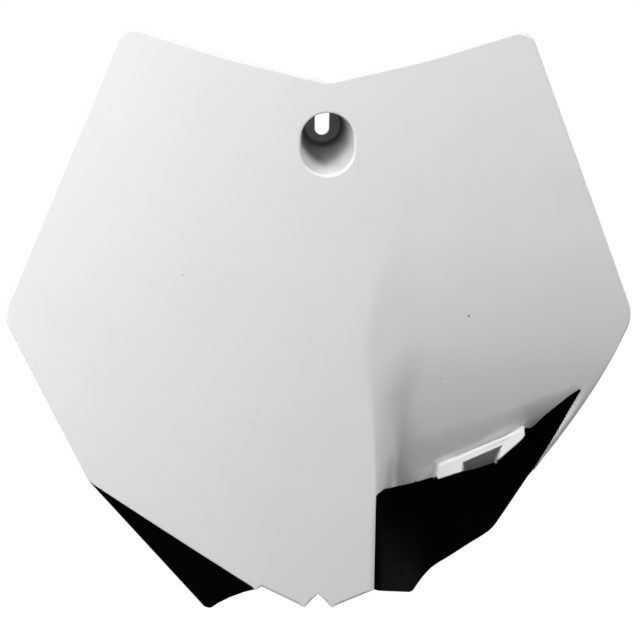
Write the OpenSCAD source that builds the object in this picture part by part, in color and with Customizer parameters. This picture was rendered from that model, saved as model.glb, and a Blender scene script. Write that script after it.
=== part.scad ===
// Racing number board: a crowned white shell with an inclined screw well, a scoop on
// its lower right for the brake hose, and a black wing on each side of its tongue.
// Origin: middle of the screw slot, on the flat seat behind the well.
// The face looks along -Y, +Z is up and +X is the viewer's right.

/* [Face] */
// Width across the two side corners
side_w = 287.8; // [260:0.1:320]
// Drop of the side corners below the screw slot
side_drop = 87.9; // [75:0.1:100]
// Radius that rounds the side corners
side_r = 14; // [6:1:30]
// Width across the two top corners
top_w = 182.4; // [150:0.1:210]
// Rise of the top corners above the screw slot
top_rise = 45.4; // [36:0.1:54]
// Radius that rounds the top corners
top_r = 8; // [3:1:12]
// Rise of the dip between the top corners above the screw slot
dip_rise = 21.1; // [17:0.1:28]
// Radius that rounds the dip
dip_r = 14; // [4:1:30]
// Radius of the crown, which curves the board about an upright axis
crown_r = 600; // [450:10:900]
// Wall of the white shell
wall = 2.2; // [1.6:0.1:3]

/* [Tongue] */
// Distance inward from the left side corner to the corner where the left wing starts
cheek_in = 39.5; // [34:0.1:50]
// Drop of that corner below the screw slot
cheek_drop = 163.2; // [150:0.1:175]
// Reach to the left of the foot of the tongue
foot_reach = 28.8; // [22:0.1:36]
// Drop of both sides of the tongue's foot below the screw slot
foot_drop = 211.5; // [200:0.5:225]
// Height of the small nub at the left of the foot
nub_h = 1.5; // [0.5:0.1:3]
// Drop of the tongue's two lowest points below its foot
tongue_below = 8; // [5:0.1:16]
// Distance between those two points
notch_w = 12.4; // [8:0.1:18]
// Height of the notch between them
notch_h = 6.4; // [3:0.1:10]

/* [Scoop] */
// Reach to the right of the step between the tongue and the scoop
step_x = 26.8; // [20:0.1:34]
// Distance from that step back to the edge of the white tongue below the border
seam_in = 1.1; // [0.6:0.1:2]
// Lean of the step's side wall
step_draft = 28; // [15:1:40]
// Drop of the crease where the scoop starts
crease_drop = 66; // [50:1:80]
// Radius with which the scoop rolls back
roll_r = 300; // [240:5:400]
// Angle of the scoop's surface at its crease
roll_entry = 3; // [2:0.5:6]
// Drop of the white border at the foot of the step
border_drop = 168.1; // [160:0.1:176]
// Distance of the border's upper tip inside a straight lower right edge
rim_w = 3.3; // [1.5:0.1:5]
// Drop of that tip
tip_drop = 122.8; // [118:0.1:130]
// Distance inward from the right side corner to the lower end of the rim strip
rim_in = 43.5; // [36:0.1:50]
// Drop of the lower end of the rim strip
rim_drop = 164.1; // [162:0.1:167]
// Distance by which the lower right edge swells past a straight line
swell = 3.9; // [1:0.1:5]
// Radius that rounds the swell
swell_r = 240; // [150:10:300]

/* [Screw well] */
// Depth of the well, from the face to its floor
well_depth = 27; // [20:0.5:34]
// Radius of the well's floor
well_floor_r = 8.6; // [7.5:0.1:10]
// Drop of the floor's centre below the slot's centre
well_floor_drop = 1.2; // [0:0.1:2]
// Width of the well's mouth
mouth_w = 25.3; // [21:0.1:30]
// Height of the well's mouth
mouth_h = 29.7; // [26:0.1:34]
// Rise of the mouth's upper rim above the slot's centre
mouth_rise = 7.4; // [7:0.1:9]
// Wall round the well
well_wall = 2.2; // [1.6:0.1:3]
// Thickness of the floor that the screw clamps
seat_t = 3; // [2:0.1:5]
// Radius of the flat seat behind the floor
seat_r = 11.6; // [11.2:0.1:14]
// Width of the slot, for an M6 screw
slot_w = 6.6; // [5.5:0.1:7]
// Length of the slot, end to end
slot_l = 12.6; // [8:0.1:13]

/* [Locating pegs] */
// Radius of a peg
peg_r = 4; // [3:0.1:6]
// Length of a peg beyond its collar
peg_l = 14; // [8:0.5:20]
// Chamfer round a peg's tip
peg_chamfer = 0.8; // [0.3:0.1:1.5]
// Distance inward from the step to the right peg, which the left one mirrors
peg_in = 10.8; // [9:0.1:16]
// Height of the pegs above the tongue's foot
peg_up = 21.5; // [16:0.5:40]
// Radius of the collar at a peg's root
collar_r = 6.5; // [6.2:0.1:8]
// Length of the collar behind the shell
collar_l = 5; // [3:0.5:8]

/* [Hose bracket] */
// Distance inward from the border's upper tip to the bracket's upper left corner
pad_in = 65; // [62:0.5:68]
// Drop of that corner below the tip
pad_below = 35.1; // [33:0.1:38]
// Slope of the bracket's upper edge
pad_tilt = 24.2; // [20:0.2:28]
// Length of the bracket
pad_l = 43; // [38:0.5:44]
// Height of the bracket's bar
pad_h = 12; // [10:0.5:13]
// Depth of the bracket's upper edge behind the face of the board
pad_set = 21.3; // [20:0.1:22]
// Lean of the bracket's face, its lower edge forward
pad_lean = 13.5; // [8:0.5:18]
// Thickness of the bracket's bar
pad_t = 6.5; // [5.5:0.1:8]
// Width of the bar above its pocket
pad_lip = 3.2; // [2:0.1:4]
// Distance of the pocket from the bracket's left end
pocket_in = 10.8; // [6:0.1:13]
// Length of the pocket
pocket_l = 16.6; // [12:0.1:20]
// Depth of the pocket behind the bracket's upper edge
pocket_deep = 7; // [5:0.5:10]
// Wall behind and beside the pocket
pocket_wall = 2; // [1.4:0.1:3]

/* [Wings] */
// Wall of the black wings
wing_wall = 2; // [1.4:0.1:2.6]
// Step from the white surface down to the black one
wing_recess = 0.6; // [0.3:0.1:1]
// Angle by which the left wing folds back
fold_angle = 38; // [25:1:50]
// Distance outward from the tongue's foot to the left wing's toe
left_toe_out = 20.3; // [16:0.1:28]
// Drop of the left wing's toe below the foot
left_toe_below = 14.4; // [12:0.1:22]
// Radius that rounds the toes of both wings
toe_r = 2.4; // [1:0.1:4]
// Distance inward from the rim strip's lower end to the right wing's heel
heel_in = 15.6; // [10:0.5:20]
// Drop of the heel below that end
heel_below = 29.1; // [24:0.1:34]
// Radius that rounds the heel
heel_r = 14; // [5:1:16]
// Distance outward from the right wing's toe to its waist, a hollow corner
waist_out = 9.7; // [6:0.1:14]
// Height of the waist above that toe
waist_up = 8.6; // [6:0.1:12]
// Radius that rounds the waist
waist_r = 12; // [4:1:14]
// Distance outward from the foot of the step to the right wing's toe
right_toe_out = 21.2; // [16:0.1:28]
// Drop of the right wing's toe below the foot
right_toe_below = 9.9; // [8:0.1:14]

/* [Hidden] */

// Overrun of every cut past the solid that it cuts
over = 2;
// Facets round a large turned surface, and round a small one
fine_fn = 360;
round_fn = 48;
hull_fn = 32;
// Straight pieces in each rounded corner of an outline
arc_steps = 6;
// Places along the white border, from the step's foot to the tip, as shares of that span
border_shares = [
  [0.034, 0.066], [0.17, 0.02], [0.32, 0.09], [0.43, 0.17], [0.59, 0.28],
  [0.69, 0.41], [0.76, 0.59], [0.83, 0.75], [0.90, 0.88], [1.00, 1.00]
];
// How far the top edge sags at half its width, as a share of its slope
top_sag_share = 0.44;
// Places along the left wing's inner edge, from its toe to the foot, as shares of that span
toe_curve_shares = [[0.21, 0.31], [0.47, 0.59], [0.75, 0.83]];
// Where the lower right edge swells most, as a share of its length
swell_share = 0.45;

face_y = -(well_depth + seat_t);
crown_axis_y = face_y + crown_r;
step_y = crown_y(step_x);
roll_axis_r = crown_r - roll_r * cos(roll_entry);
roll_axis_z = -crease_drop + roll_r * sin(roll_entry);
// Half the height of the solids that the outlines are cut from
reach_z = foot_drop + left_toe_below + top_rise;
clip_front = -face_y + over;
clip_back = reach_z;

cheek = [cheek_in - side_w / 2, -cheek_drop];
foot_left = [-foot_reach, -foot_drop];
foot_right = [step_x - seam_in, -foot_drop];
step_foot = [step_x - seam_in, -border_drop];
side = [side_w / 2, -side_drop];
rim_end = side + [-rim_in, side_drop - rim_drop];
rim_run = rim_end - side;
swell_corner = side + rim_run * swell_share + swell * unit([-rim_run.y, rim_run.x]);
// The tip lies inside the straight edge from the side corner to the rim strip's lower end
tip_share = (tip_drop - side_drop) / (rim_drop - side_drop);
tip = [side.x - rim_in * tip_share - rim_w, -tip_drop];
heel = rim_end - [heel_in, heel_below];
left_toe = foot_left - [left_toe_out, left_toe_below];
right_toe = foot_right + [right_toe_out, -right_toe_below];
waist = right_toe + [waist_out, waist_up];
tongue_z = -foot_drop - tongue_below;
peg_x = step_x - peg_in;

// Front of the crown at a distance from the board's middle
function crown_y(x) = crown_axis_y - sqrt(crown_r * crown_r - x * x);

function unit(v) = v / norm(v);
function turn(a) = a > 180 ? a - 360 : a < -180 ? a + 360 : a;

// The arc that rounds corner q between p and s with radius r
function corner_arc(p, q, s, r) =
  let (
    u = unit(p - q),
    w = unit(s - q),
    half = acos(u * w) / 2,
    c = q + unit(u + w) * r / sin(half),
    from = q + u * r / tan(half) - c,
    to = q + w * r / tan(half) - c,
    start = atan2(from.y, from.x),
    sweep = turn(atan2(to.y, to.x) - start)
  )
  [for (i = [0 : arc_steps])
    let (a = start + sweep * i / arc_steps)
    c + r * [cos(a), sin(a)]];

function place(c) = [c.x, c.y];

// An outline from corners written as [x, z, radius], where radius 0 stays sharp
function rounded(corners) =
  let (n = len(corners))
  [for (i = [0 : n - 1])
    let (
      p = place(corners[(i + n - 1) % n]),
      q = place(corners[i]),
      s = place(corners[(i + 1) % n]),
      r = corners[i].z
    )
    each (r > 0 ? corner_arc(p, q, s, r) : [q])];

// Points at shares of the way from a to b, each axis by its own share
function between(a, b, shares) = [for (s = shares) [a.x + (b.x - a.x) * s.x, a.y + (b.y - a.y) * s.y]];

function sharp(points) = [for (p = points) [p.x, p.y, 0]];
function reversed(list) = [for (i = [len(list) - 1 : -1 : 0]) list[i]];

// The white border along the scoop, from the step's foot to the tip
border = between(step_foot, tip, border_shares);

top_mid_z = dip_rise + (top_rise - dip_rise) * top_sag_share;

face_corners = concat(
  [
    [0, dip_rise, dip_r],
    [top_w / 4, top_mid_z, top_w / 2],
    [top_w / 2, top_rise, top_r],
    [side.x, side.y, side_r],
    [swell_corner.x, swell_corner.y, swell_r]
  ],
  sharp([rim_end]),
  sharp(reversed(border)),
  sharp([step_foot, foot_right]),
  sharp([
    [notch_w / 2, tongue_z],
    [0, tongue_z + notch_h],
    [-notch_w / 2, tongue_z],
    [-foot_reach + 2 * nub_h, -foot_drop + nub_h],
    foot_left,
    [-foot_reach - nub_h, -foot_drop + nub_h],
    cheek
  ]),
  [
    [-side.x, side.y, side_r],
    [-top_w / 2, top_rise, top_r],
    [-top_w / 4, top_mid_z, top_w / 2]
  ]
);

left_wing_corners = concat(
  sharp([cheek, [-foot_reach - nub_h, -foot_drop + nub_h], foot_left]),
  sharp(reversed(between(left_toe, foot_left, toe_curve_shares))),
  [[left_toe.x, left_toe.y, toe_r]]
);

right_wing_corners = concat(
  sharp([step_foot]),
  sharp(border),
  sharp([rim_end]),
  [
    [heel.x, heel.y, heel_r],
    [waist.x, waist.y, waist_r],
    [right_toe.x, right_toe.y, toe_r]
  ],
  sharp([foot_right])
);

// A disc or rod along Y, from y0 back to y1
module rod(r, y0, y1, x, z, fn) {
  translate([x, y0, z]) rotate([-90, 0, 0]) cylinder(r = r, h = y1 - y0, $fn = fn);
}

// Everything in front of and behind an outline drawn as seen from the front
module outline_prism(corners) {
  rotate([90, 0, 0]) translate([0, 0, -clip_back])
    linear_extrude(clip_back + clip_front) polygon(rounded(corners));
}

// The space behind the crowned front surface, moved back by inset
module crown_solid(inset) {
  translate([0, crown_axis_y, -reach_z - inset])
    cylinder(r = crown_r - inset, h = 2 * (reach_z + inset), $fn = fine_fn);
}

// What the scoop takes off: outside the surface that rolls back, right of the step
module scoop_cut(inset) {
  intersection() {
    translate([0, crown_axis_y, 0]) rotate_extrude($fn = fine_fn) difference() {
      translate([roll_axis_r + over, roll_axis_z - 2 * reach_z])
        square([roll_r + over, 2 * reach_z]);
      translate([roll_axis_r, roll_axis_z]) circle(r = roll_r - inset, $fn = fine_fn);
    }
    translate([step_x, step_y, -2 * reach_z]) rotate([0, 0, -step_draft])
      translate([-inset, -side_w, 0]) cube([side_w, 2 * side_w, 4 * reach_z]);
  }
}

module board_solid(inset) {
  difference() {
    crown_solid(inset);
    scoop_cut(inset);
  }
}

// A skin between two depths behind the board's front surface, cut to an outline
module skin(outer, inner, corners) {
  difference() {
    intersection() {
      outline_prism(corners);
      board_solid(outer);
    }
    board_solid(inner);
  }
}

// The tapered space of the screw well, or its outside where grow is the wall
module well_form(grow, floor_y, mouth_y) {
  mouth_r = mouth_w / 2;
  hull() {
    rod(well_floor_r + grow, floor_y - seat_t / 2, floor_y, 0, -well_floor_drop, hull_fn);
    for (z = [mouth_rise - mouth_r, mouth_rise - mouth_h + mouth_r])
      rod(mouth_r + grow, mouth_y - seat_t / 2, mouth_y, 0, z, hull_fn);
  }
}

module well_outside() {
  well_form(well_wall, -seat_t / 2, face_y + wall);
  rod(seat_r, -seat_t, 0, 0, -well_floor_drop, round_fn);
}

// The slot through the well's floor
module slot() {
  end_z = (slot_l - slot_w) / 2;
  for (z = [-end_z, end_z])
    rod(slot_w / 2, -seat_t - over, over, 0, z, round_fn);
  translate([-slot_w / 2, -seat_t - over, -end_z])
    cube([slot_w, seat_t + 2 * over, 2 * end_z]);
}

// One of the two pegs that locate the tongue's foot
module peg(x) {
  root_y = crown_y(x) + wall / 2;
  collar_y = crown_y(x) + wall + collar_l;
  tip_y = collar_y + peg_l;
  z = peg_up - foot_drop;
  rod(collar_r, root_y, collar_y, x, z, round_fn);
  rod(peg_r, root_y, tip_y - peg_chamfer, x, z, round_fn);
  translate([x, tip_y - peg_chamfer, z]) rotate([-90, 0, 0])
    cylinder(r1 = peg_r, r2 = peg_r - peg_chamfer, h = peg_chamfer, $fn = round_fn);
}

// Puts children at the bracket's upper left corner, with X along its upper edge
module at_pad() {
  translate([tip.x - pad_in, face_y + pad_set, tip.y - pad_below])
    rotate([0, -pad_tilt, 0]) children();
}

module bracket_outside() {
  at_pad() {
    rotate([-pad_lean, 0, 0]) translate([0, 0, -pad_h]) cube([pad_l, pad_t, pad_h]);
    translate([pocket_in - pocket_wall, 0, -pad_h])
      cube([pocket_l + 2 * pocket_wall, pocket_deep + pocket_wall, pad_h - pad_lip + pocket_wall]);
  }
}

// The pocket for the hose clip, open in front and through the border below
module pocket() {
  at_pad() translate([pocket_in, -pocket_deep, -2 * pad_h])
    cube([pocket_l, 2 * pocket_deep, 2 * pad_h - pad_lip]);
}

module number_face() {
  color("white") difference() {
    union() {
      skin(0, wall, face_corners);
      well_outside();
      for (x = [-peg_x, peg_x]) peg(x);
      intersection() {
        bracket_outside();
        outline_prism(face_corners);
      }
    }
    well_form(0, -seat_t, face_y);
    slot();
    pocket();
  }
}

// A flat plate hinged along the tongue's lower left edge and folded back
module left_wing() {
  edge = foot_left - cheek;
  mid = (foot_left + cheek) / 2;
  mid_y = (crown_y(cheek.x) + crown_y(foot_reach)) / 2;
  edge_l = norm(edge);
  color("black") intersection() {
    outline_prism(left_wing_corners);
    translate([mid.x, mid_y, mid.y])
      rotate([0, atan2(-edge.y, edge.x), 0])
      rotate([0, 0, atan2(crown_y(foot_reach) - crown_y(cheek.x), edge_l)])
      rotate([fold_angle, 0, 0])
      translate([-edge_l, wing_recess, -edge_l])
      cube([2 * edge_l, wing_wall, 2 * edge_l]);
  }
}

module right_wing() {
  color("black") skin(wing_recess, wing_recess + wing_wall, right_wing_corners);
}

number_face();
left_wing();
right_wing();
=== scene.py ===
import bpy
import math
import numpy as np
from mathutils import Matrix, Vector
from mathutils.geometry import delaunay_2d_cdt


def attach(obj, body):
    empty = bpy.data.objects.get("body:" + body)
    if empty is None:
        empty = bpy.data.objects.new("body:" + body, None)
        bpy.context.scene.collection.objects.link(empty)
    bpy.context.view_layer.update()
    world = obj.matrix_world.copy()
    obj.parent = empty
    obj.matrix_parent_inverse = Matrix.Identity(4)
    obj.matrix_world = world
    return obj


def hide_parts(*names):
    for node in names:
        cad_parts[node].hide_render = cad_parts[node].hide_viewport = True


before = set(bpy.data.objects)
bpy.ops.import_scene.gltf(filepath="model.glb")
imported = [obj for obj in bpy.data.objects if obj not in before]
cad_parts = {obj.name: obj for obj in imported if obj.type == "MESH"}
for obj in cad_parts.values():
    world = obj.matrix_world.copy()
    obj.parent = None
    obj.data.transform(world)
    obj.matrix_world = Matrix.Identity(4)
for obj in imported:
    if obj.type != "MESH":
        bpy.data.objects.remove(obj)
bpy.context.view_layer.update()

# Sizes in millimetres, the same as in the part's source. The face looks along -Y.
MM = 0.001
FACE_Y = -30.0
CROWN_R = 600.0
CROWN_AXIS = FACE_Y + CROWN_R
WALL, WING_WALL = 2.2, 2.0
WING_RECESS = 0.6
STEP_X = 26.8
CREASE_Z = -66.0
ROLL_R = 300.0
ENTRY = math.radians(3)
ROLL_AXIS_R = CROWN_R - ROLL_R * math.cos(ENTRY)
ROLL_AXIS_Z = CREASE_Z + ROLL_R * math.sin(ENTRY)
TOP = (91.2, 45.4)
DIP_Z = 21.1
SIDE = (143.9, -87.9)
RIM_END = (100.4, -164.1)
SWELL = (127.2, -124.4)
TIP = (120.68, -122.8)
CHEEK = (-104.4, -163.2)
FOOT_Z = -211.5
TONGUE_Z = -219.5
NOTCH_HALF, NOTCH_H = 6.2, 6.4
SEAM_X = 25.7
FOOT_LEFT = (-28.8, FOOT_Z)
NUB_L, NUB_H = 3.0, 1.5
LEFT_TOE = (-49.1, -225.9)
BORDER_Z = -168.1
# The white border's lower edge, from the seam to the tip
BORDER = [
    (SEAM_X, BORDER_Z), (26.6, -166.8), (30.2, -167.3), (33.9, -168.6), (38.7, -168.3), (54.3, -164.3),
    (66.4, -160.5), (69.0, -161.6), (81.2, -157.8), (83.8, -154.3), (94.2, -145.0), (95.7, -141.2), (97.6, -142.0),
    (100.2, -141.6), (105.2, -135.2), (114.1, -126.6), (119.8, -122.3), TIP,
]
HEEL, WAIST, RIGHT_TOE = (84.8, -193.2), (56.6, -212.8), (46.9, -221.4)
FOLD = math.radians(38)
TINY = 1e-12


def smin(a, b, k):
    """The smaller of a and b, blended over the width k."""
    h = np.maximum(k - np.abs(a - b), 0) / k
    return np.minimum(a, b) - h * h * k / 4


def smax(a, b, k):
    """The larger of a and b, blended over the width k."""
    h = np.maximum(k - np.abs(a - b), 0) / k
    return np.maximum(a, b) + h * h * k / 4


def smooth(t):
    t = np.clip(t, 0, 1)
    return t * t * (3 - 2 * t)


def rising(v, start, over):
    """0 up to start, then smoothly up to 1 over the width given."""
    return smooth((v - start) / over)


def falling(v, end, over):
    """Smoothly down from 1 over the width given, and 0 from end on."""
    return smooth((end - v) / over)


def hump(v, width):
    """1 where v is 0, and less on both sides."""
    return np.exp(-(v / width) ** 2)


def within(v, limits):
    return (v > limits[0]) & (v < limits[1])


def crown(x):
    return CROWN_AXIS - np.sqrt(CROWN_R ** 2 - x * x)


def beyond(x, z, a, b):
    """Distance to the right of the line from a to b."""
    ex, ez = b[0] - a[0], b[1] - a[1]
    return ((x - a[0]) * ez - (z - a[1]) * ex) / math.hypot(ex, ez)


EDGE_BLEND = 3.9


def side_distance(x, z):
    """Distance inside the lower right edge, from the side corner to the heel."""
    upper_part, middle = beyond(x, z, SIDE, SWELL), beyond(x, z, SWELL, RIM_END)
    return smin(upper_part, np.maximum(middle, beyond(x, z, RIM_END, HEEL)), EDGE_BLEND)


# The border's upper part runs from here to the tip. The curl ends a little below it.
BORDER_BEND = (97.8, -141.2)
BORDER_BELOW = 2.0


def border_distance(x, z):
    """Height above the upper part of the border, measured square to it."""
    return BORDER_BELOW - beyond(x, z, BORDER_BEND, TIP)


# The hose bracket's own frame: its upper left corner and the slope of its upper edge
PAD_IN, PAD_BELOW = 65.0, 35.1
PAD = (TIP[0] - PAD_IN, TIP[1] - PAD_BELOW)
PAD_TILT = math.radians(24.2)
PAD_L = 43.2


def to_pad(x, z):
    c, s = math.cos(PAD_TILT), math.sin(PAD_TILT)
    return (x - PAD[0]) * c + (z - PAD[1]) * s, (z - PAD[1]) * c - (x - PAD[0]) * s


# The bracket's bar: its face's depth and slope, where its roundings start and how fast they fall away
BAR_Y, BAR_SLOPE = -8.7, 0.3
EDGE_FROM, RIGHT_FROM, EDGE_FALL = -0.8, PAD_L - 1.0, 2.2
LEFT_END, LEFT_LEAN, LEFT_FALL = (56.3, -157.6), 0.15, 3.0
LOW_FROM, LOW_FALL = 14.5, 2.0
# The clip's pocket: its floor's depth, its upper edge, and each side's place, lean and softness
POCKET_FLOOR, POCKET_TOP = -1.7, 3.0
POCKET_LEFT, POCKET_LEFT_LEAN, POCKET_LEFT_SOFT = (66.5, -157.0), 0.1, 3.3
POCKET_RIGHT, POCKET_RIGHT_LEAN, POCKET_RIGHT_SOFT = (85.3, -148.6), 0.2, 2.8


def pad_front(x, z):
    """Depth of the bracket's bar: a face that leans up, a rounded upper edge, soft ends and the clip's pocket."""
    u, w = to_pad(x, z)
    round_off = np.hypot(np.maximum(w - EDGE_FROM, 0), np.maximum(u - RIGHT_FROM, 0))
    left = np.maximum(LEFT_END[0] + LEFT_LEAN * (z - LEFT_END[1]) - x, 0)
    below = np.maximum(-w - LOW_FROM, 0)
    y = BAR_Y + BAR_SLOPE * np.minimum(w, 0)
    y = y + EDGE_FALL * round_off ** 2 + LEFT_FALL * left ** 2 + LOW_FALL * below ** 2
    from_left = x - POCKET_LEFT[0] - POCKET_LEFT_LEAN * (z - POCKET_LEFT[1])
    from_right = POCKET_RIGHT[0] + POCKET_RIGHT_LEAN * (z - POCKET_RIGHT[1]) - x
    sides = np.minimum(from_left / POCKET_LEFT_SOFT, from_right / POCKET_RIGHT_SOFT)
    hollow = smooth(np.minimum(sides, -w - POCKET_TOP))
    return y + (POCKET_FLOOR - y) * hollow


# The step's side wall: its lean in degrees, the blend at its foot and the blend at its crest.
# A stretch is a height and the way down from it over which a change takes place.
STEEPER, NEAR_BORDER, BELOW_BORDER = (-95.0, 60.0), (-148.0, 14.0), (-168.0, 20.0)
LEAN, LEAN_LESS, LEAN_LEAST, LEAN_BACK = 50.0, 28.0, 6.0, 13.0
FOOT_BLEND, FOOT_TIGHTER, FOOT_SOFTER = 14.0, 3.0, 3.5
CREST_GROWS = (-40.0, 60.0)
CREST, CREST_MORE, CREST_HIGH_UP, CREST_REACH = 2.2, 3.8, 3.0, 9.0


def step_and_scoop(x, z):
    """The crown, stepped down along the side wall into the scoop, which rolls back towards the border."""
    base = crown(x)
    dz = z - ROLL_AXIS_Z
    r = ROLL_AXIS_R + np.where(dz < 0, np.sqrt(ROLL_R ** 2 - dz * dz), ROLL_R + dz * dz / (2 * ROLL_R))
    roll = CROWN_AXIS - np.sqrt(r * r - x * x)
    # The wall is steeper and its crest and foot are tighter towards the border
    down, near_border = falling(z, *STEEPER), falling(z, *NEAR_BORDER)
    lean = LEAN - LEAN_LESS * down - LEAN_LEAST * near_border + LEAN_BACK * falling(z, *BELOW_BORDER)
    wall = crown(STEP_X) + (x - STEP_X) / np.tan(np.radians(lean))
    low = smin(roll, wall, FOOT_BLEND - FOOT_TIGHTER * down + FOOT_SOFTER * near_border)
    high_up = CREST_HIGH_UP * (1 - down) * hump(x - STEP_X, CREST_REACH)
    crest = CREST + (CREST_MORE + high_up) * falling(z, *CREST_GROWS)
    y = smax(base, low, crest)
    return np.where(low > base, y, np.minimum(y, base + crest / 4))


# The curl towards the border's upper part: its reach, which is shorter near the tip, its slope and power,
# and the stretches over which it comes and goes
CURL_REACH, CURL_SHORTER, CURL_SHORTENS = 16.0, 9.0, (92.0, 28.0)
CURL_SLOPE, CURL_POWER = 0.5, 2.2
CURL_FROM_X, CURL_FROM_Z, CURL_TO_X, CURL_OFF_EDGE = (84.0, 12.0), (-164.0, 22.0), (123.0, 8.0), (2.0, 5.0)


def curl(x, z, edge):
    d = border_distance(x, z)
    reach = CURL_REACH - CURL_SHORTER * rising(x, *CURL_SHORTENS)
    near = np.clip((reach - d) / reach, 0, 1)
    along = rising(x, *CURL_FROM_X) * rising(z, *CURL_FROM_Z) * falling(x, *CURL_TO_X) * rising(edge, *CURL_OFF_EDGE)
    return CURL_SLOPE * reach * near ** CURL_POWER * along


# Below the tip the lower right edge turns down: over which width, how far past it, how deep and from where on
TURN_WIDTH, TURN_LIMIT, TURN_DEPTH, TURN_FROM = 3.4, 1.5, 1.8, (-96.0, 46.0)


def edge_turn(z, edge):
    turn = np.clip((TURN_WIDTH - edge) / TURN_WIDTH, 0, TURN_LIMIT) * falling(z, *TURN_FROM)
    return TURN_DEPTH * turn ** 2


# Above the bracket the surface rolls back faster, from a faint line on
BAND_LINE, BAND_TILT, BAND_H = 16.5, 0.125, 16
BAND_SLOPE, BAND_BOW = 0.05, 0.005
BAND_FROM_U, BAND_TO_X = (-14.0, 16.0), (120.0, 26.0)


def band_above_pad(x, u, w):
    band = np.clip(BAND_LINE - BAND_TILT * u - w, 0, BAND_H)
    return (BAND_SLOPE * band + BAND_BOW * band ** 2) * rising(u, *BAND_FROM_U) * falling(x, *BAND_TO_X)


# A soft swell leads up to the bracket's bar, and is wider and higher near its right end
RISE, RISE_FROM_W, RISE_WIDTH, RISE_WIDER = 0.9, 0.3, 1.9, 0.9
RISE_SHARE, RISE_SHARE_MORE = 0.75, 0.5
RISE_FROM_U, RISE_TO_U, RIGHT_END = (-3.0, 4.0), (47.0, 4.0), (20.0, 12.0)
# The surface also rises towards the bar's left end
SHOULDER, SHOULDER_U, SHOULDER_WIDTH = 0.8, 1.0, 4.5
SHOULDER_TO_W, SHOULDER_TO_U = (3.5, 6.0), (8.0, 4.0)
PAD_BLEND = 2.4


def rise_to_pad(u, w):
    right_end = rising(u, *RIGHT_END)
    above = hump(np.maximum(w - RISE_FROM_W, 0), RISE_WIDTH + RISE_WIDER * right_end)
    ends = rising(u, *RISE_FROM_U) * falling(u, *RISE_TO_U)
    rise = RISE * above * ends * (RISE_SHARE + RISE_SHARE_MORE * right_end)
    shoulder = SHOULDER * hump(np.maximum(SHOULDER_U - u, 0), SHOULDER_WIDTH)
    return rise + shoulder * falling(w, *SHOULDER_TO_W) * falling(u, *SHOULDER_TO_U)


def plain_front(x, z):
    """Depth y of the white shell's front surface without the bracket."""
    x = np.asarray(x, float)
    z = np.asarray(z, float)
    edge = side_distance(x, z)
    u, w = to_pad(x, z)
    return step_and_scoop(x, z) + curl(x, z, edge) + edge_turn(z, edge) + band_above_pad(x, u, w)


def front(x, z):
    """Depth y of the white shell's front surface."""
    y = plain_front(x, z) - rise_to_pad(*to_pad(x, z))
    return smin(y, pad_front(x, z), PAD_BLEND)


SLOPE_STEP = 0.05


def gradient(fn, x, z):
    h = SLOPE_STEP
    return (fn(x + h, z) - fn(x - h, z)) / (2 * h), (fn(x, z + h) - fn(x, z - h)) / (2 * h)


def normals_of(fn, x, z):
    gx, gz = gradient(fn, x, z)
    return unit(np.stack([gx, -np.ones_like(gx), gz], -1))


def unit(v):
    return v / np.linalg.norm(v, axis=-1, keepdims=True)


def behind(fn, wall):
    """The back of a wall whose front is fn."""
    def back(x, z):
        gx, gz = gradient(fn, x, z)
        return fn(x, z) + wall * np.sqrt(1 + gx * gx + gz * gz)
    return back


# The box behind the bracket's pocket, in the bracket's frame
BOX_Y, BOX_FALL, BOX_BLEND = 0.3, 1.5, 1.0
BOX_LEFT, BOX_RIGHT, BOX_TOP = 9.4, 28.8, -1.8


def shell_back(x, z):
    """The back of the white shell, with the box behind the bracket's pocket."""
    u, w = to_pad(x, z)
    past = np.maximum(BOX_LEFT - u, 0) ** 2 + np.maximum(u - BOX_RIGHT, 0) ** 2 + np.maximum(w - BOX_TOP, 0) ** 2
    return smax(behind(plain_front, WALL)(x, z), BOX_Y - BOX_FALL * past, BOX_BLEND)


# Outlines
def corner_arc(p, q, s, r, steps):
    """The rounding of radius r at the corner q between p and s."""
    p, q, s = (np.array(v, float) for v in (p, q, s))
    u = (p - q) / np.linalg.norm(p - q)
    w = (s - q) / np.linalg.norm(s - q)
    half = math.acos(np.clip(u @ w, -1, 1)) / 2
    m = (u + w) / np.linalg.norm(u + w)
    c = q + m * r / math.sin(half)
    f = q + u * r / math.tan(half) - c
    t = q + w * r / math.tan(half) - c
    a0 = math.atan2(f[1], f[0])
    sweep = (math.atan2(t[1], t[0]) - a0 + math.pi) % (2 * math.pi) - math.pi
    return [tuple(c + r * np.array([math.cos(a0 + sweep * i / steps), math.sin(a0 + sweep * i / steps)]))
            for i in range(steps + 1)]


def catmull(points, per):
    """A smooth curve through points, both ends included, with per steps from each to the next."""
    p = [np.array(v, float) for v in points]
    p = [2 * p[0] - p[1]] + p + [2 * p[-1] - p[-2]]
    out = []
    for i in range(1, len(p) - 2):
        a, b, c, d = p[i - 1], p[i], p[i + 1], p[i + 2]
        for j in range(per):
            t = j / per
            out.append(tuple(0.5 * (2 * b + (c - a) * t + (2 * a - 5 * b + 4 * c - d) * t * t
                                    + (3 * b - a - 3 * c + d) * t ** 3)))
    out.append(tuple(p[-2]))
    return out


def flipped(points):
    return [(-x, z) for x, z in reversed(points)]


def inside(poly, pts):
    """Which of pts lie inside a polygon."""
    poly = np.asarray(poly)
    x, z = pts[:, 0], pts[:, 1]
    res = np.zeros(len(pts), bool)
    for (x0, z0), (x1, z1) in zip(poly, np.roll(poly, -1, axis=0)):
        if z0 != z1:
            res ^= ((z0 > z) != (z1 > z)) & (x < (x1 - x0) * (z - z0) / (z1 - z0) + x0)
    return res


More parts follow.
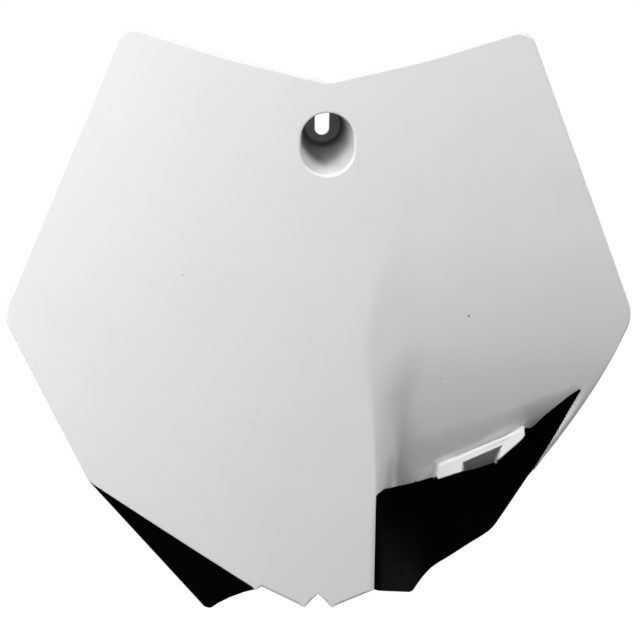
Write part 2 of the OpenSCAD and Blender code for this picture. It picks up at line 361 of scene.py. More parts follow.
def distance_to(poly, pts):
    poly = np.asarray(poly)
    best = np.full(len(pts), np.inf)
    for a, b in zip(poly, np.roll(poly, -1, axis=0)):
        d = b - a
        t = np.clip(((pts - a) @ d) / max(d @ d, TINY), 0, 1)
        best = np.minimum(best, np.linalg.norm(pts - (a + t[:, None] * d), axis=1))
    return best


def area_of(poly):
    p = np.asarray(poly)
    q = np.roll(p, -1, axis=0)
    return 0.5 * np.sum(p[:, 0] * q[:, 1] - q[:, 0] * p[:, 1])


LEAST_COS = 0.35


def inward(poly):
    """Unit inward directions at the points of a loop that runs counter-clockwise, with a mitre factor."""
    p = np.asarray(poly, float)
    e = unit(np.roll(p, -1, axis=0) - p)
    n1 = np.stack([-e[:, 1], e[:, 0]], -1)
    m = np.roll(n1, 1, axis=0) + n1
    m /= np.maximum(np.linalg.norm(m, axis=1, keepdims=True), TINY)
    return m, 1 / np.maximum((m * n1).sum(1), LEAST_COS)


# A rounding is this small at a sharp corner, and grows by this share of the way from it
CORNER_MITRE, CORNER_ROUND, ROUND_GROWTH = 1.12, 0.22, 0.3


def chain(parts, step):
    """A closed loop from parts (points, radius or (first, last) radii), with the rounding radius at each point."""
    pts, rad = [], []
    for points, r in parts:
        r0, r1 = r if isinstance(r, tuple) else (r, r)
        seg = [np.array(q, float) for q in points]
        lens = np.concatenate([[0], np.cumsum([np.linalg.norm(b - a) for a, b in zip(seg, seg[1:])])])
        for i in range(len(seg) - 1):
            k = max(1, math.ceil((lens[i + 1] - lens[i]) / step))
            for j in range(k):
                share = (lens[i] + (lens[i + 1] - lens[i]) * j / k) / max(lens[-1], TINY)
                pts.append(tuple(seg[i] + (seg[i + 1] - seg[i]) * j / k))
                rad.append(r0 + (r1 - r0) * share)
    pts, rad = np.array(pts), np.array(rad)
    # A rounding can't be larger than a sharp corner leaves room for
    forwards = area_of(pts) > 0
    mitre = inward(pts if forwards else pts[::-1])[1]
    mitre = mitre if forwards else mitre[::-1]
    for corner in pts[mitre > CORNER_MITRE]:
        rad = np.minimum(rad, CORNER_ROUND + ROUND_GROWTH * np.linalg.norm(pts - corner, axis=1))
    room = ROUND_GROWTH * np.linalg.norm(pts - np.roll(pts, 1, axis=0), axis=1)
    for _ in range(2):
        for i in range(len(pts)):
            rad[i] = min(rad[i], rad[i - 1] + room[i])
        for i in range(len(pts) - 1, -1, -1):
            rad[i - 1] = min(rad[i - 1], rad[i] + room[i])
    return pts, rad


class Mesh:
    """Collects points with their normals, and faces, in millimetres."""

    def __init__(self):
        self.co, self.no, self.faces = [], [], []

    def add(self, co, no):
        start = len(self.co)
        self.co += [tuple(c) for c in co]
        self.no += [tuple(n) for n in no]
        return list(range(start, start + len(co)))

    def strip(self, a, b, flip=False):
        """Faces between two closed rings."""
        for i in range(len(a)):
            j = (i + 1) % len(a)
            f = (a[i], a[j], b[j], b[i])
            self.faces.append(f[::-1] if flip else f)

    def build(self, name, material):
        me = bpy.data.meshes.new(name)
        me.from_pydata((np.array(self.co) * MM).tolist(), [], self.faces)
        me.update()
        for poly in me.polygons:
            poly.use_smooth = True
        me.normals_split_custom_set_from_vertices([Vector(n).normalized() for n in self.no])
        me.materials.append(material)
        ob = bpy.data.objects.new(name, me)
        bpy.context.scene.collection.objects.link(ob)
        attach(ob, "root")
        return ob


class Tube:
    """Closed rings of points, each joined to the one before."""

    def __init__(self, mesh, flip=False):
        self.mesh, self.flip, self.last = mesh, flip, None

    def ring(self, points, normals):
        ring = self.mesh.add(points, normals)
        if self.last is not None:
            self.mesh.strip(self.last, ring, self.flip)
        self.last = ring

    def bend(self, p0, p1, p2, n0, n2, steps):
        """Rings along the curves from p0 by p1 to p2, the first of which may be there already."""
        for i in range(0 if self.last is None else 1, steps + 1):
            t = i / steps
            self.ring((1 - t) ** 2 * p0 + 2 * t * (1 - t) * p1 + t * t * p2, (1 - t) * n0 + t * n2)


MERGE = 1e-5


def triangulate(loops, pts):
    """Triangles over the region inside loops[0] and outside the other loops, through the loops' points and pts."""
    verts, edges = [], []
    for loop in loops:
        s = len(verts)
        verts += [tuple(p) for p in loop]
        edges += [(s + i, s + (i + 1) % len(loop)) for i in range(len(loop))]
    verts += [tuple(p) for p in pts]
    found = delaunay_2d_cdt([Vector(p) for p in verts], edges, [], 0, MERGE)
    v = np.array([(p.x, p.y) for p in found[0]])
    tri = np.array([t for t in found[2] if len(t) == 3])
    middle = v[tri].mean(1)
    keep = inside(loops[0], middle)
    for loop in loops[1:]:
        keep &= ~inside(loop, middle)
    return v, tri[keep]


# A grid's rows lie closer than its columns by this share, and it keeps this clear of a loop
ROW_SHARE, GRID_CLEAR, EXTRA_CLEAR = 0.866, 0.8, 0.25


def grid_points(loop, holes, step, fine, fine_step):
    """Points of a hexagonal grid inside a loop, closer together where fine(x, z) is true."""
    lo, hi = np.min(loop, 0), np.max(loop, 0)
    out = []
    for apart, want in ((step, False), (fine_step, True)):
        xs = np.arange(lo[0], hi[0], apart)
        zs = np.arange(lo[1], hi[1], apart * ROW_SHARE)
        gx, gz = np.meshgrid(xs, zs)
        gx = gx + (np.arange(len(zs)) % 2)[:, None] * apart / 2
        p = np.stack([gx.ravel(), gz.ravel()], -1)
        out.append(p[fine(p[:, 0], p[:, 1]) == want])
    p = np.concatenate(out)
    p = p[inside(loop, p)]
    p = p[distance_to(loop, p) > GRID_CLEAR]
    for h in holes:
        p = p[~inside(h, p)]
        p = p[distance_to(h, p) > GRID_CLEAR]
    return p


def lift(p, y):
    """Points of the outline's plane at the depth y."""
    return np.stack([p[:, 0], np.broadcast_to(y, len(p)), p[:, 1]], -1)


def nowhere(x, z):
    return np.zeros(len(x), bool)


ARC_STEPS, BACK_ARC_STEPS = 5, 3


def sheet(mesh, loop, radii, depth, back, step, back_round, fine=nowhere, fine_step=1.2,
          holes=(), back_holes=(), extra=None):
    """A skin between depth(x, z) and back(x, z), cut to a loop, with front edges rounded by radii.
    Holes stay open in front, and back_holes behind, for what is joined to them. Extra is a set of points that
    take the grid's place in a zone."""
    loop = np.asarray(loop, float)
    if area_of(loop) < 0:
        loop = loop[::-1]
        radii = radii[::-1]
    d, mitre = inward(loop)
    n_edge = lift(-d, 0.0)
    back_radii = np.minimum(radii, back_round)

    def ring(r, a, fn, facing):
        q = loop + d * (r * (1 - math.sin(a)) * mitre)[:, None]
        n = normals_of(fn, q[:, 0], q[:, 1]) * facing
        p = lift(q, fn(q[:, 0], q[:, 1])) - n * (r * (1 - math.cos(a)))[:, None]
        return p, n * math.cos(a) + n_edge * math.sin(a)

    edge = Tube(mesh, flip=True)
    for i in range(ARC_STEPS + 1):
        edge.ring(*ring(radii, math.pi / 2 * i / ARC_STEPS, depth, 1))
    for i in range(BACK_ARC_STEPS + 1):
        edge.ring(*ring(back_radii, math.pi / 2 * (1 - i / BACK_ARC_STEPS), back, -1))

    for fn, facing, hs, r in ((depth, 1, holes, radii), (back, -1, back_holes, back_radii)):
        inner = loop + d * (r * mitre)[:, None]
        pts = grid_points(inner, hs, step, fine, fine_step)
        if extra is not None:
            more, zone = extra
            more = more[inside(inner, more)]
            more = more[distance_to(inner, more) > EXTRA_CLEAR]
            pts = np.concatenate([pts[~zone(pts[:, 0], pts[:, 1])], more])
        v, tri = triangulate([inner, *hs], pts)
        idx = mesh.add(lift(v, fn(v[:, 0], v[:, 1])), normals_of(fn, v[:, 0], v[:, 1]) * facing)
        a, b, c = (v[tri[:, i]] for i in range(3))
        turn = (b[:, 0] - a[:, 0]) * (c[:, 1] - a[:, 1]) - (b[:, 1] - a[:, 1]) * (c[:, 0] - a[:, 0])
        for t, s in zip(tri.tolist(), turn.tolist()):
            f = (idx[t[0]], idx[t[1]], idx[t[2]])
            # Seen from the front, x runs right and z up, so a counter-clockwise face looks to -Y
            mesh.faces.append(f if (s > 0) == (facing > 0) else f[::-1])


# The border as one smooth curve, with two small nicks where the black runs into the white: place, width, height
NICKS = [(54.9, 1.6, 1.3), (46.0, 1.2, 0.8)]
BORDER_STEPS = 10
border = BORDER[:1] + catmull(BORDER[1:], BORDER_STEPS)
for x, wide, high in NICKS:
    k = next(i for i, q in enumerate(border) if q[0] > x)
    a, b = np.array(border[k - 1]), np.array(border[k])
    mid = a + (b - a) * (x - a[0]) / (b[0] - a[0])
    half = unit(b - a) * wide / 2
    nick = [tuple(mid - half), (mid[0], mid[1] + high), tuple(mid + half)]
    border = [q for q in border[:k] if q[0] < nick[0][0]] + nick + [q for q in border[k:] if q[0] > nick[2][0]]

# Each arc's radius and number of steps
DIP_ARC, SAG_ARC, TOP_ARC, SIDE_ARC, SWELL_ARC = (14, 16), (91, 16), (8.3, 16), (15.4, 20), (330, 18)
HEEL_ARC, WAIST_ARC, RIGHT_TOE_ARC, LEFT_TOE_ARC = (14, 14), (12, 12), (2.4, 8), (2.8, 8)
SAG_SHARE = 0.44

NUB = (FOOT_LEFT[0] - NUB_H, FOOT_Z + NUB_H)
top_mid = (TOP[0] / 2, DIP_Z + (TOP[1] - DIP_Z) * SAG_SHARE)
dip = corner_arc((-top_mid[0], top_mid[1]), (0, DIP_Z), top_mid, *DIP_ARC)
right_sag = corner_arc((0, DIP_Z), top_mid, TOP, *SAG_ARC)
right_top = corner_arc(top_mid, TOP, SIDE, *TOP_ARC)
right_side = corner_arc(TOP, SIDE, SWELL, *SIDE_ARC)
swell = corner_arc(SIDE, SWELL, RIM_END, *SWELL_ARC)
left_side = corner_arc(CHEEK, (-SIDE[0], SIDE[1]), (-TOP[0], TOP[1]), *SIDE_ARC)

# The rim strip ends bluntly, just above the point where its two edges meet
STRIP_OUT_SHARE, STRIP_IN_SHARE = 0.1, 0.05
strip_out = tuple(np.array(RIM_END) + (np.array(swell[-1]) - RIM_END) * STRIP_OUT_SHARE)
strip_in = tuple(np.array(RIM_END) + (np.array(TIP) - RIM_END) * STRIP_IN_SHARE)

# How far apart the points of a loop are, and the rounding of each edge
LOOP_STEP, LEFT_LOOP_STEP = 1.3, 1.2
RIM_ROUND, STRIP_ROUND, BORDER_ROUND, SEAM_ROUND, FOOT_ROUND, CHEEK_ROUND = 1.2, 0.25, 0.5, 0.4, 1.3, 0.6
WING_ROUND, LEFT_WING_ROUND, LEFT_SEAM_ROUND, BACK_ROUND, WING_BACK_ROUND = 0.8, 0.7, 0.3, 0.35, 0.3

FOOT_RIGHT = (SEAM_X, FOOT_Z)
foot = [FOOT_RIGHT, (NOTCH_HALF, TONGUE_Z), (0, TONGUE_Z + NOTCH_H), (-NOTCH_HALF, TONGUE_Z),
        (FOOT_LEFT[0] + NUB_L, FOOT_Z + NUB_H), FOOT_LEFT, NUB]
face_parts = [
    (dip + right_sag + right_top + right_side, RIM_ROUND),
    ([right_side[-1]] + swell, (RIM_ROUND, BORDER_ROUND)),
    ([swell[-1], strip_out, strip_in], STRIP_ROUND),
    ([strip_in, TIP], STRIP_ROUND),
    (list(reversed(border)), BORDER_ROUND),
    ([border[0], FOOT_RIGHT], SEAM_ROUND),
    (foot, FOOT_ROUND),
    ([NUB, CHEEK], CHEEK_ROUND),
    ([CHEEK] + left_side + flipped(right_top) + flipped(right_sag) + [dip[0]], RIM_ROUND),
]
face_loop, face_rad = chain(face_parts, LOOP_STEP)

# The screw well: its oval mouth, its floor, the seat behind it, the slot, and the cone round it
MOUTH_R, MOUTH_X, MOUTH_TOP, MOUTH_FOOT, MOUTH_ROUND = 12.3, 0.5, 7.3, -21.2, 0.9
FLOOR_R, FLOOR_Z, FLOOR_ROUND = 8.6, -1.2, 1.2
SEAT_T, SEAT_R, SEAT_SIDE, SEAT_ROUND = 3.0, 11.6, 2.2, 0.5
SLOT_R, SLOT_HALF, SLOT_ROUND = 3.3, 3.0, 0.3
CONE_CORNER, CONE_START, CONE_EASE, CONE_END_EASE = (11.3, -3.0), (10.9, -3.2), 0.8, 1.8
WELL_SHARES, CONE_SHARES = (0.25, 0.5, 0.75, 1.0), (0.35, 0.7, 1.0)
TURNS = 128
PHI = (np.arange(TURNS) + 0.5) / TURNS * 2 * math.pi
OUT = np.stack([np.cos(PHI), np.sin(PHI)], -1)
BACK = np.array([0.0, 1.0, 0.0])


def oval(r, x, top, low):
    """A circle of radius r, drawn out in height between the centres of its two ends."""
    c = np.where(OUT[:, 1] > 0, top, low)
    return np.stack([x + OUT[:, 0] * r, c + OUT[:, 1] * r], -1)


def mouth(grow):
    return oval(MOUTH_R + grow, MOUTH_X, MOUTH_TOP - MOUTH_R, MOUTH_FOOT + MOUTH_R)


def disc(r, y):
    return lift(oval(r, 0, FLOOR_Z, FLOOR_Z), y)


def slot(r, y):
    return lift(oval(r, 0, SLOT_HALF, -SLOT_HALF), y)


def on_face(p, y=0.0):
    return lift(p, front(p[:, 0], p[:, 1]) + y)


def square_to(run, side):
    """Unit directions square to run, on the side given."""
    n = unit(np.cross(run, np.cross(side, run)))
    return n * np.sign((n * side).sum(1))[:, None]


def well(mesh):
    """The well from the face's front to its back, and the loops at which it meets them."""
    tube = Tube(mesh)
    out3 = lift(OUT, 0.0)
    to_back = np.broadcast_to(BACK, (TURNS, 3))
    # Front: rim, wall, floor, slot
    face_p = mouth(MOUTH_ROUND)
    edge = on_face(mouth(0))
    floor_edge = disc(FLOOR_R, -SEAT_T)
    down = unit(floor_edge - edge)
    wall_n = square_to(down, -out3)
    a, b = edge + down * MOUTH_ROUND, floor_edge - down * FLOOR_ROUND
    tube.bend(on_face(face_p), edge, a, normals_of(front, face_p[:, 0], face_p[:, 1]), wall_n, 8)
    for t in WELL_SHARES:
        tube.ring(a + (b - a) * t, wall_n)
    tube.bend(b, floor_edge, disc(FLOOR_R - FLOOR_ROUND, -SEAT_T), wall_n, -to_back, 5)
    slot_out, slot_in = slot(SLOT_R + SLOT_ROUND, -SEAT_T), slot(SLOT_R, -SEAT_T)
    tube.ring(slot_out, -to_back)
    tube.bend(slot_out, slot_in, slot_in + BACK * SLOT_ROUND, -to_back, -out3, 3)
    slot_end = slot(SLOT_R, -SLOT_ROUND)
    tube.ring(slot_end, -out3)
    # Back: slot edge, seat, outer wall
    tube.bend(slot_end, slot(SLOT_R, 0.0), slot(SLOT_R + SLOT_ROUND, 0.0), -out3, to_back, 3)
    seat_edge = disc(SEAT_R - SEAT_ROUND, 0.0)
    tube.ring(seat_edge, to_back)
    tube.bend(seat_edge, disc(SEAT_R, 0.0), disc(SEAT_R, -SEAT_ROUND), to_back, out3, 4)
    seat_low = disc(SEAT_R, -SEAT_SIDE)
    tube.ring(seat_low, out3)
    top = on_face(mouth(WALL), WALL)
    start = disc(*CONE_START)
    run = unit(top - start)
    outer_n = square_to(run, out3)
    a, b = start + run * CONE_EASE, top - run * CONE_END_EASE
    tube.bend(seat_low, disc(*CONE_CORNER), a, out3, outer_n, 4)
    for t in CONE_SHARES:
        tube.ring(a + (b - a) * t, outer_n)
    back_p = mouth(WALL + CONE_END_EASE)
    tube.bend(b, top, on_face(back_p, WALL), outer_n, -normals_of(front, back_p[:, 0], back_p[:, 1]), 6)
    return face_p, back_p


# Materials
def add_node(nt, kind, inputs, **settings):
    """A node whose inputs are set to plain values or linked to other nodes' outputs."""
    n = nt.nodes.new("ShaderNode" + kind)
    for key, value in settings.items():
        setattr(n, key, value)
    for key, value in inputs.items():
        if isinstance(value, bpy.types.NodeSocket):
            nt.links.new(value, n.inputs[key])
        else:
            n.inputs[key].default_value = value
    return n


def new_material(name):
    m = bpy.data.materials.new(name)
    m.use_nodes = True
    nt = m.node_tree
    nt.nodes.clear()
    bsdf = add_node(nt, "BsdfPrincipled", {})
    out = add_node(nt, "OutputMaterial", {0: bsdf.outputs[0]})
    return m, nt, bsdf, out


def noise(nt, scale, detail):
    place = add_node(nt, "TexCoord", {}).outputs["Object"]
    return add_node(nt, "TexNoise", {"Vector": place, "Scale": scale, "Detail": detail}).outputs[0]


def ramp(nt, fac, stops):
    r = add_node(nt, "ValToRGB", {0: fac})
    for e, (pos, col) in zip(r.color_ramp.elements, stops):
        e.position = pos
        e.color = (*col, 1) if isinstance(col, tuple) else (col, col, col, 1)
    return r.outputs[0]


def math_node(nt, kind, a, b):
    return add_node(nt, "Math", {0: a, 1: b}, operation=kind).outputs[0]


def map_range(nt, value, from_min, from_max, to_min, to_max, kind="SMOOTHSTEP"):
    values = {0: value, 1: from_min, 2: from_max, 3: to_min, 4: to_max}
    return add_node(nt, "MapRange", values, interpolation_type=kind).outputs[0]


def distance_from(nt, co, x, z, z_weight):
    """Distance in metres from the line through (x, z) along Y, with the height weighed."""
    weighed = add_node(nt, "VectorMath", {0: co, 1: (1, 0, z_weight)}, operation="MULTIPLY").outputs[0]
    return add_node(nt, "VectorMath", {0: weighed, 1: (x * MM, 0, z * MM)}, operation="DISTANCE").outputs["Value"]


# Small dark marks on the face: x, z, radius in millimetres and how much of the tone is left
SPECKS = [
    (-63.3, -66.9, 0.45, 0.7), (66.5, -85.4, 0.55, 0.2), (54.8, -114.7, 0.45, 0.7), (45.3, -106.4, 0.4, 0.8),
    (-28.7, -129.0, 0.4, 0.8), (-31.8, -134.1, 0.4, 0.8), (14.8, 8.3, 0.4, 0.8), (14.3, -15.2, 0.4, 0.8),
]
SPECK_INNER, SPECK_OUTER = 0.6, 1.2
# Painted shade: the well's depth, the clip's pocket and, less so, the lower corner between the step's wall and
# the border are painted darker grey where shade falls in them. Each place has its middle in x and weighed z, the
# height's weight, the distances at which it is full and gone, the depths from which and to which the painted shade
# grows and how dark, and whether it goes on to the wall's back. All but the weights and the shares are in
# millimetres.
PAINTED_SHADE_PLACES = [
    (0.5, -5.7, 0.82, (12.8, 13.6), [(-29.2, -27.8, 0.2), (-22.0, -4.5, 0.55)], False),
    (75.7, -156.5, 1.0, (11.0, 14.5), [(-9.2, -3.0, 0.96)], True),
    (33.3, -41.5, 0.25, (0.5, 4.5), [(-27.0, -18.0, 0.33)], True),
]
# Behind the well's floor the tone comes back, between these depths
BEHIND_FLOOR = (-2.5, -1.0)


def painted_shade_and_specks(nt):
    """The share of its tone that the white plastic keeps. It is less where shade is painted into the recesses, and
    at the specks.
    """
    co = add_node(nt, "TexCoord", {}).outputs["Object"]
    depth = add_node(nt, "SeparateXYZ", {0: co}).outputs[1]
    in_front = map_range(nt, depth, BEHIND_FLOOR[0] * MM, BEHIND_FLOOR[1] * MM, 1, 0)
    keep = 1.0
    # Painted shade: each of these places darkens the white tone where shade falls
    for x, z, z_weight, (full, gone), depths, goes_on in PAINTED_SHADE_PLACES:
        painted_shade = 0.0
        for start, end, amount in depths:
            painted_shade = math_node(nt, "ADD", painted_shade, map_range(nt, depth, start * MM, end * MM, 0, amount))
        near = map_range(nt, distance_from(nt, co, x, z, z_weight), full * MM, gone * MM, 1, 0)
        painted_shade = math_node(nt, "MULTIPLY", near, painted_shade)
        if not goes_on:
            painted_shade = math_node(nt, "MULTIPLY", painted_shade, in_front)
        keep = math_node(nt, "MULTIPLY", keep, math_node(nt, "SUBTRACT", 1.0, painted_shade))
    for x, z, radius, left in SPECKS:
        inner, outer = radius * SPECK_INNER * MM, radius * SPECK_OUTER * MM
        speck = map_range(nt, distance_from(nt, co, x, z, 1.0), inner, outer, left, 1)
        keep = math_node(nt, "MULTIPLY", keep, speck)
    return keep


# Each plastic's clouded tone and gloss are ramps over a noise of a scale and detail, and its grain is a bump
# of a noise, a strength and a height in metres
WHITE_LOOK = {
    "tones": [(0.3, (0.795, 0.797, 0.80)), (0.7, (0.815, 0.815, 0.815))], "tone_noise": (26, 3),
    "gloss": [(0.3, 0.30), (0.7, 0.36)], "gloss_noise": (90, 4), "specular": 0.5,
    "grain_noise": (700, 2), "grain": (0.04, 0.0004),
}
BLACK_LOOK = {
    "tones": [(0.3, (0.0006, 0.0006, 0.0007)), (0.7, (0.0010, 0.0010, 0.0011))], "tone_noise": (40, 3),
    "gloss": [(0.3, 0.42), (0.7, 0.52)], "gloss_noise": (120, 4), "specular": 0.005,
    "grain_noise": (1500, 2), "grain": (0.12, 0.0002),
}


def plastic(name, look, keep=None):
    m, nt, bsdf, _ = new_material(name)
    tone = ramp(nt, noise(nt, *look["tone_noise"]), look["tones"])
    if keep is not None:
        tone = add_node(nt, "VectorMath", {0: tone, "Scale": keep(nt)}, operation="SCALE").outputs[0]
    nt.links.new(tone, bsdf.inputs["Base Color"])
    nt.links.new(ramp(nt, noise(nt, *look["gloss_noise"]), look["gloss"]), bsdf.inputs["Roughness"])
    bsdf.inputs["Specular IOR Level"].default_value = look["specular"]
    strength, height = look["grain"]
    grain = {"Strength": strength, "Distance": height, "Height": noise(nt, *look["grain_noise"])}
    nt.links.new(add_node(nt, "Bump", grain).outputs[0], bsdf.inputs["Normal"])
    return m


WHITE = plastic("white_shell_plastic", WHITE_LOOK, painted_shade_and_specks)
BLACK = plastic("black_wing_plastic", BLACK_LOOK)

# Points of the shell lie closer at the step's wall, at the bracket, at the turned edge and in the curl
SHELL_STEP, SHELL_FINE, WING_STEP, WING_FINE, LEFT_STEP = 2.4, 1.1, 2.2, 1.2, 2.4
FINE_WALL_X, FINE_WALL_Z = (20, 52), -72
FINE_PAD_U, FINE_PAD_W = (-6, 50), (-14, 14)
FINE_EDGE = 5
FINE_CURL, FINE_CURL_X, FINE_CURL_Z = 18, 80, -110


def is_fine(x, z):
    u, w = to_pad(x, z)
    at_wall = within(x, FINE_WALL_X) & (z < FINE_WALL_Z)
    at_pad = within(u, FINE_PAD_U) & within(w, FINE_PAD_W)
    in_curl = (border_distance(x, z) < FINE_CURL) & (x > FINE_CURL_X) & (z < FINE_CURL_Z)
    return at_wall | at_pad | (side_distance(x, z) < FINE_EDGE) | in_curl


# Rows of points along the bracket's bar, closer where its upper edge and its pocket's edge turn.
# Rows and columns are given as from, to and apart.
PAD_ROWS = [(-13, -4.6, 0.5), (-4.4, -2.7, 0.2), (-2.4, 4.5, 0.35)]
PAD_COLUMNS = (52.3, 98.8, 0.42)
PAD_ZONE_X, PAD_ZONE_W = (52, 99), (-13.2, 4.4)


def pad_points():
    gx, gw = np.meshgrid(np.arange(*PAD_COLUMNS), np.concatenate([np.arange(*rows) for rows in PAD_ROWS]))
    gz = PAD[1] + (gx - PAD[0]) * math.tan(PAD_TILT) + gw / math.cos(PAD_TILT)
    return np.stack([gx.ravel(), gz.ravel()], -1)


def in_pad_zone(x, z):
    return within(x, PAD_ZONE_X) & within(to_pad(x, z)[1], PAD_ZONE_W)


# The white shell with its well
shell = Mesh()
front_hole, back_hole = well(shell)
sheet(shell, face_loop, face_rad, front, shell_back, SHELL_STEP, BACK_ROUND, is_fine, SHELL_FINE,
      [front_hole], [back_hole], (pad_points(), in_pad_zone))
board = shell.build("board_shell", WHITE)

# The two locating pegs on the tongue's back. The profile gives radius, height above the foot, and the normal's
# parts outwards and backwards.
PEG_X, PEG_Z, PEG_SUNK = 16.0, -190.0, 0.6
PEG_TURNS = 56
PEG_PROFILE = [
    (8.1, 0.0, 0.2, 1), (7.1, 0.9, 0.6, 0.8), (6.5, 2.0, 1, 0.1), (6.5, 5.0, 1, 0), (6.32, 5.42, 0.7, 0.7),
    (5.9, 5.6, 0, 1), (4.7, 5.6, 0, 1), (4.2, 5.75, 0.6, 0.8), (4.0, 6.2, 1, 0), (4.0, 18.7, 1, 0),
    (3.95, 18.9, 0.92, 0.38), (3.3, 19.54, 0.6, 0.8), (3.1, 19.6, 0, 1), (0.6, 19.6, 0, 1),
]


def peg(mesh, cx, cz):
    foot_y = float(crown(cx)) + WALL - PEG_SUNK
    a = np.arange(PEG_TURNS) / PEG_TURNS * 2 * math.pi
    around = np.stack([np.cos(a), np.sin(a)], -1)
    tube = Tube(mesh, flip=True)
    for r, height, n_out, n_back in PEG_PROFILE:
        tube.ring(lift(around * r + (cx, cz), foot_y + height), lift(around * n_out, n_back))
    mesh.faces.append(tuple(reversed(tube.last)))


pegs = Mesh()
for side in (-PEG_X, PEG_X):
    peg(pegs, side, PEG_Z)
peg_pair = pegs.build("locating_pegs", WHITE)


# The black wings
def wing_front(x, z):
    return plain_front(x, z) + WING_RECESS


def left_front(x, z):
    """A flat plate set back at a fixed angle along the tongue's lower left edge."""
    a, b = np.array(CHEEK), np.array(FOOT_LEFT)
    length = np.linalg.norm(b - a)
    d = (b - a) / length
    s = (x - a[0]) * d[0] + (z - a[1]) * d[1]
    q = (x - a[0]) * d[1] - (z - a[1]) * d[0]
    ya, yb = crown(a[0]), crown(b[0])
    return ya + (yb - ya) * s / length + q * math.tan(FOLD) + WING_RECESS / math.cos(FOLD)


heel = corner_arc(RIM_END, HEEL, WAIST, *HEEL_ARC)
waist = corner_arc(HEEL, WAIST, RIGHT_TOE, *WAIST_ARC)
toe = corner_arc(WAIST, RIGHT_TOE, FOOT_RIGHT, *RIGHT_TOE_ARC)
right_parts = [
    (list(reversed(border)), STRIP_ROUND),
    ([border[0], FOOT_RIGHT], STRIP_ROUND),
    ([FOOT_RIGHT] + list(reversed(heel + waist + toe)) + [RIM_END], WING_ROUND),
    ([RIM_END, strip_out, strip_in, TIP], STRIP_ROUND),
]
loop, rad = chain(right_parts, LOOP_STEP)
wing = Mesh()
sheet(wing, loop, rad, wing_front, behind(wing_front, WING_WALL), WING_STEP, WING_BACK_ROUND, is_fine, WING_FINE)
right_skin = wing.build("right_wing_skin", BLACK)

# The left wing's inner edge, as shares in x and in z of the way from its toe to the foot
INNER_EDGE_SHARES = [(0.21, 0.31), (0.47, 0.59), (0.75, 0.83)]
inner_edge = [(LEFT_TOE[0] + (FOOT_LEFT[0] - LEFT_TOE[0]) * a, LEFT_TOE[1] + (FOOT_LEFT[1] - LEFT_TOE[1]) * b)
              for a, b in INNER_EDGE_SHARES]
left_toe = corner_arc(inner_edge[0], LEFT_TOE, CHEEK, *LEFT_TOE_ARC)
left_parts = [
    ([CHEEK, NUB, FOOT_LEFT], LEFT_SEAM_ROUND),
    ([FOOT_LEFT] + list(reversed(inner_edge)) + left_toe + [CHEEK], LEFT_WING_ROUND),
]
loop, rad = chain(left_parts, LEFT_LOOP_STEP)
wing = Mesh()
sheet(wing, loop, rad, left_front, behind(left_front, WING_WALL), LEFT_STEP, WING_BACK_ROUND)
left_skin = wing.build("left_wing_skin", BLACK)

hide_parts("number_face")
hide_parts("number_face")
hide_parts("right_wing")
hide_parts("left_wing")

# The camera: its target in millimetres, its turns in degrees, its distance in metres and its lens
TARGET = Vector((-1.47, -30.0, -86.55)) * MM
YAW, ELEVATION, ROLL = math.radians(-4.5), math.radians(10.0), math.radians(1.03)
CAMERA_AWAY, LENS, SENSOR, CLIP_END = 2.0, 250.0, 36.0, 50.0


def direction(azimuth, elevation):
    """The unit vector towards a place in front of the board, turned right by azimuth and up by elevation."""
    flat = math.cos(elevation)
    return Vector((math.sin(azimuth) * flat, -math.cos(azimuth) * flat, math.sin(elevation)))


away = direction(YAW, ELEVATION)
level = Vector((math.cos(YAW), math.sin(YAW), 0))
upright = level.cross(-away)
right = math.cos(ROLL) * level + math.sin(ROLL) * upright
up = math.cos(ROLL) * upright - math.sin(ROLL) * level
cam = bpy.data.cameras.new("photo_camera")
cam.lens = LENS
cam.sensor_width = SENSOR
cam.clip_end = CLIP_END
cam_ob = bpy.data.objects.new("photo_camera", cam)
turned = Matrix((right, up, away)).transposed()
cam_ob.matrix_world = Matrix.Translation(TARGET + away * CAMERA_AWAY) @ turned.to_4x4()
bpy.context.scene.collection.objects.link(cam_ob)
bpy.context.scene.camera = cam_ob

# Soft lights round the board: name, azimuth, elevation, size in metres and power
LIGHTS = [
    ("key_light", -60, 40, 0.36, 6.6),
    ("front_light", -45, 20, 0.5, 5.6),
    ("side_light", -88, 20, 0.5, 4.6),
    ("right_light", 60, 40, 0.36, 7.6),
]
LIGHT_AWAY = 1.1
CENTRE = Vector((0, -0.02, -0.08))
for name, azimuth, elevation, size, power in LIGHTS:
    way = direction(math.radians(azimuth), math.radians(elevation))
    li = bpy.data.lights.new(name, "AREA")
    li.size = size
    li.energy = power
    ob = bpy.data.objects.new(name, li)
    ob.location = CENTRE + way * LIGHT_AWAY
    ob.rotation_euler = (-way).to_track_quat("-Z", "Y").to_euler()
    bpy.context.scene.collection.objects.link(ob)


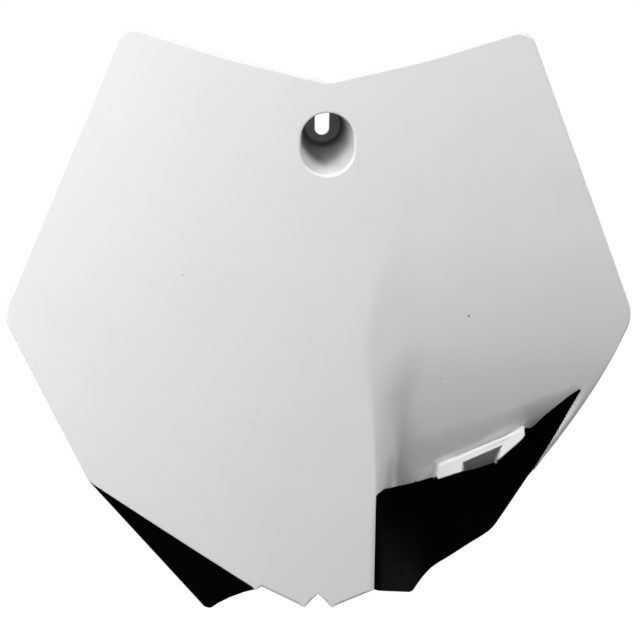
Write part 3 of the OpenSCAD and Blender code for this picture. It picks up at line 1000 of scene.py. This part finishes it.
def seen_directly(nt):
    """1 for what the camera sees, also in reflections and through glass."""
    ray = add_node(nt, "LightPath", {})
    last = ray.outputs["Is Camera Ray"]
    for kind in ("Is Glossy Ray", "Is Transmission Ray"):
        last = math_node(nt, "MAXIMUM", last, ray.outputs[kind])
    return last


# The background: what it lights the board with, and what is seen of it
AMBIENT, MIRRORED = 0.015, 1.0
world = bpy.data.worlds.new("studio")
bpy.context.scene.world = world
world.use_nodes = True
nt = world.node_tree
nt.nodes.clear()
dim, white = (add_node(nt, "Background", {0: (grey, grey, grey, 1)}).outputs[0] for grey in (AMBIENT, MIRRORED))
mix = add_node(nt, "MixShader", {0: seen_directly(nt), 1: dim, 2: white})
add_node(nt, "OutputWorld", {0: mix.outputs[0]})

# A plain pale floor well below the board, which hangs from its screw. It glows white far from the board:
# distances from which and to which the glow grows, and its strengths there.
GROUND_HALF, GROUND_Z = 3.5, -1.1
GROUND_GREY, GROUND_ROUGH = 0.6, 0.9
GLOW = (1.4, 2.4, 0.7, 1.0)
corners = [(x * GROUND_HALF, y * GROUND_HALF, GROUND_Z) for x, y in ((-1, -1), (1, -1), (1, 1), (-1, 1))]
me = bpy.data.meshes.new("floor")
me.from_pydata(corners, [], [(0, 1, 2, 3)])
floor = bpy.data.objects.new("floor", me)
bpy.context.scene.collection.objects.link(floor)
paper, nt, bsdf, out = new_material("floor_paper")
bsdf.inputs["Base Color"].default_value = (GROUND_GREY, GROUND_GREY, GROUND_GREY, 1)
bsdf.inputs["Roughness"].default_value = GROUND_ROUGH
place = add_node(nt, "TexCoord", {}).outputs["Object"]
far = add_node(nt, "VectorMath", {0: place}, operation="LENGTH").outputs["Value"]
strength = math_node(nt, "MULTIPLY", seen_directly(nt), map_range(nt, far, *GLOW, "LINEAR"))
glow = add_node(nt, "Emission", {0: (1, 1, 1, 1), 1: strength}).outputs[0]
nt.links.new(add_node(nt, "AddShader", {0: bsdf.outputs[0], 1: glow}).outputs[0], out.inputs[0])
me.materials.append(paper)

bpy.context.scene.view_settings.view_transform = "Standard"
